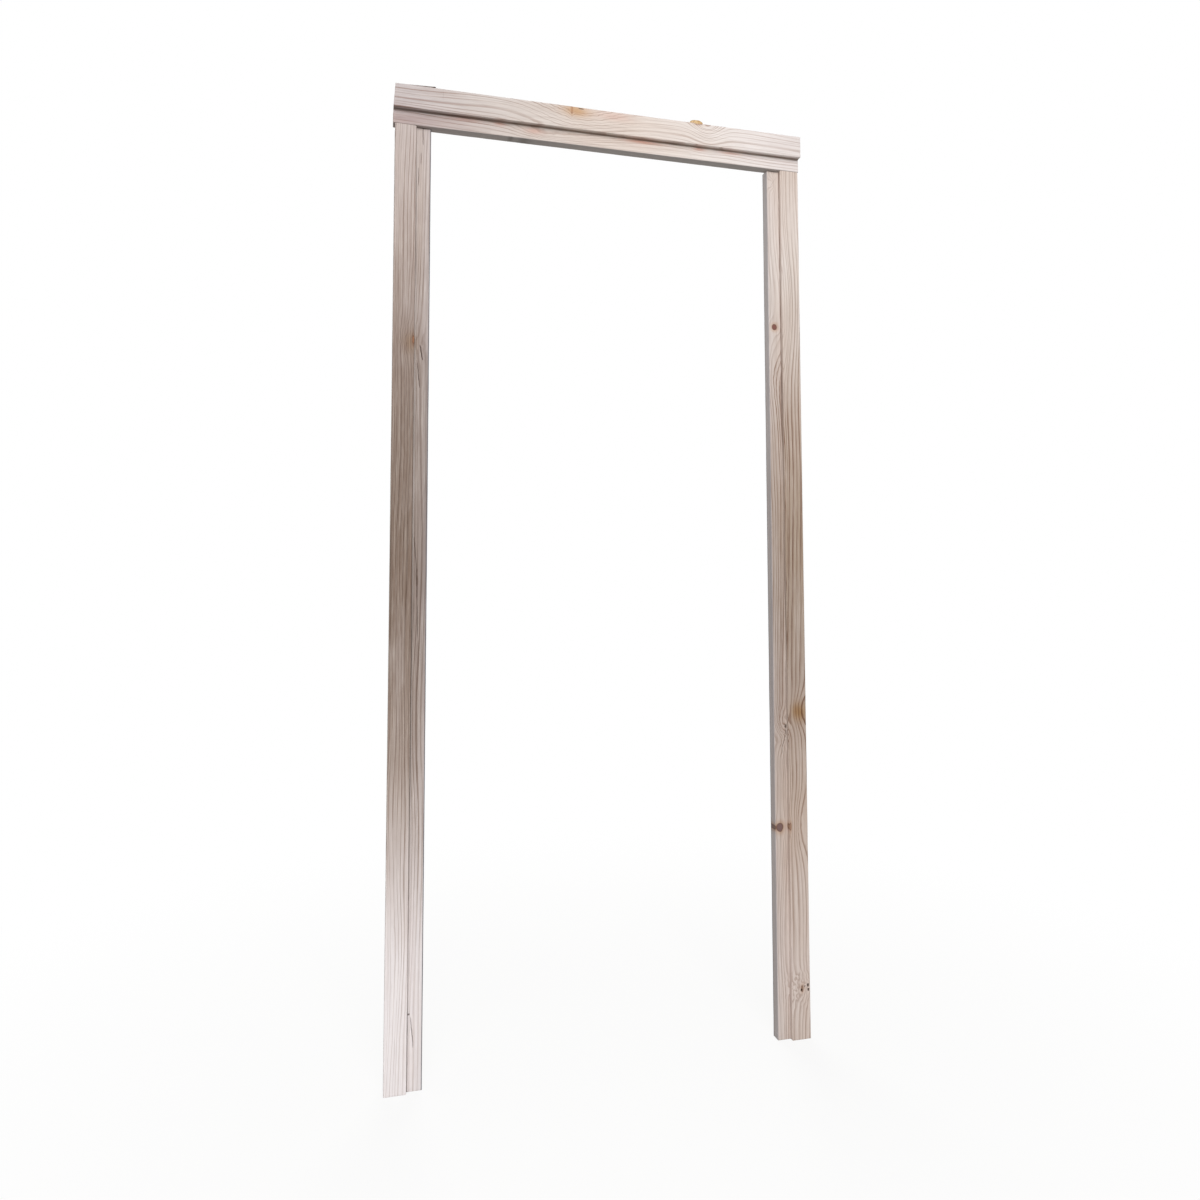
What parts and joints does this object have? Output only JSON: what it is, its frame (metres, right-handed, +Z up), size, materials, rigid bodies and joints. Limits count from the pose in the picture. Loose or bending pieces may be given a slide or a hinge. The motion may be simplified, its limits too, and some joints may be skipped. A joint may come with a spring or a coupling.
{
  "type": "wooden door frame",
  "caption": "Plain softwood door frame: a rebated head lying across two rebated jambs, open doorway between, no leaf, sill or hardware.",
  "frame": {"origin": "on the floor, midway along the head and midway through the depth", "axes": "+Z up the jambs, +X along the head to the right seen from the rebated side, +Y away from the rebated side"},
  "size_m": [0.937, 0.045, 2.074],
  "materials": {
    "planed_softwood": "planed, unsealed",
    "nail_wire": "bright drawn wire"
  },
  "bodies": {
    "root": {"head": "planed_softwood", "left_jamb": "planed_softwood", "right_jamb": "planed_softwood", "nail_left_outer": "nail_wire", "nail_left_inner": "nail_wire", "nail_right_inner": "nail_wire", "nail_right_outer": "nail_wire"}
  },
  "joints": []
}
